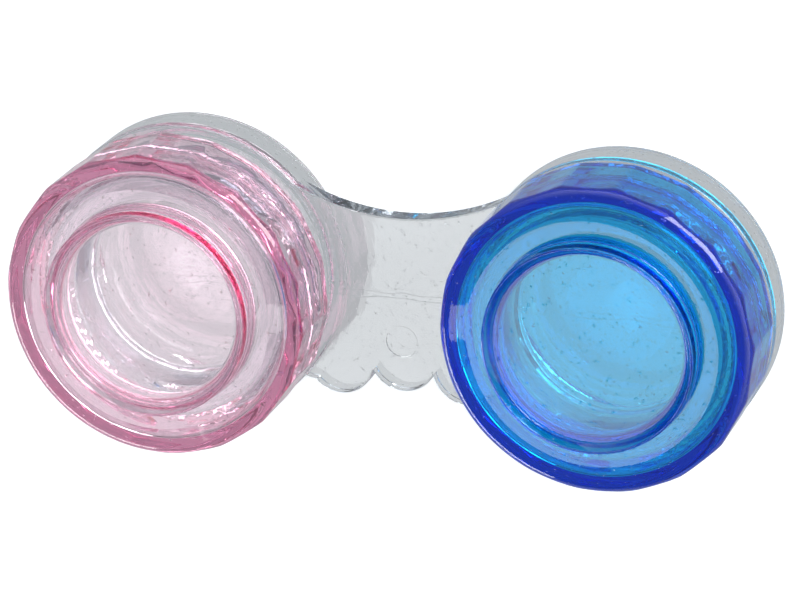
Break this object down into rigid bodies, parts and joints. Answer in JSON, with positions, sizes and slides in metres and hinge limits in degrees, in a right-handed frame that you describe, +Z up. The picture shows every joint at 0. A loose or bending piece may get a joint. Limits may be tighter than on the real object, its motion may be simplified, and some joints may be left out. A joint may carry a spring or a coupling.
{
  "type": "contact lens case",
  "caption": "Clear screw-top contact lens case: deep round wells on round feet, joined by a scalloped web, each under a transparent tinted screw cap with a grip of flat facets.",
  "frame": {"origin": "on the table, under the middle of the web, at the centre of the bounding box's base", "axes": "+Z up, the axis of both wells and caps; +X from the pink cap to the blue cap; +Y to the web's concave edge"},
  "size_m": [0.0697, 0.0288, 0.0164],
  "materials": {
    "clear_plastic": "clear, polished styrene moulding",
    "pink_plastic": "transparent pink, polished moulding",
    "blue_plastic": "transparent blue, polished moulding"
  },
  "bodies": {
    "base": {"base_tray": "clear_plastic"},
    "pink_window": {"pink_cap_window": "pink_plastic"},
    "pink_collar": {"pink_cap_collar": "pink_plastic"},
    "blue_window": {"blue_cap_window": "blue_plastic"},
    "blue_collar": {"blue_cap_collar": "blue_plastic"}
  },
  "joints": [
    {"name": "pink_cap_lift", "type": "slide", "parent": "base", "child": "pink_window", "axis": [0, 0, 1], "range_m": [-0.00167, 0.00733]},
    {"name": "pink_cap_turn", "type": "hinge", "parent": "pink_window", "child": "pink_collar", "pos_m": [-0.0205, 0, 0.008], "axis": [0, 0, 1], "range_deg": [-100, 440]},
    {"name": "blue_cap_lift", "type": "slide", "parent": "base", "child": "blue_window", "axis": [0, 0, 1], "range_m": [0, 0.009]},
    {"name": "blue_cap_turn", "type": "hinge", "parent": "blue_window", "child": "blue_collar", "pos_m": [0.0205, 0, 0.008], "axis": [0, 0, 1], "range_deg": [0, 540]}
  ],
  "couplings": [
    {"joint": "pink_cap_turn", "follows": "pink_cap_lift", "rad_per_m": 1047.2},
    {"joint": "blue_cap_turn", "follows": "blue_cap_lift", "rad_per_m": 1047.2}
  ]
}
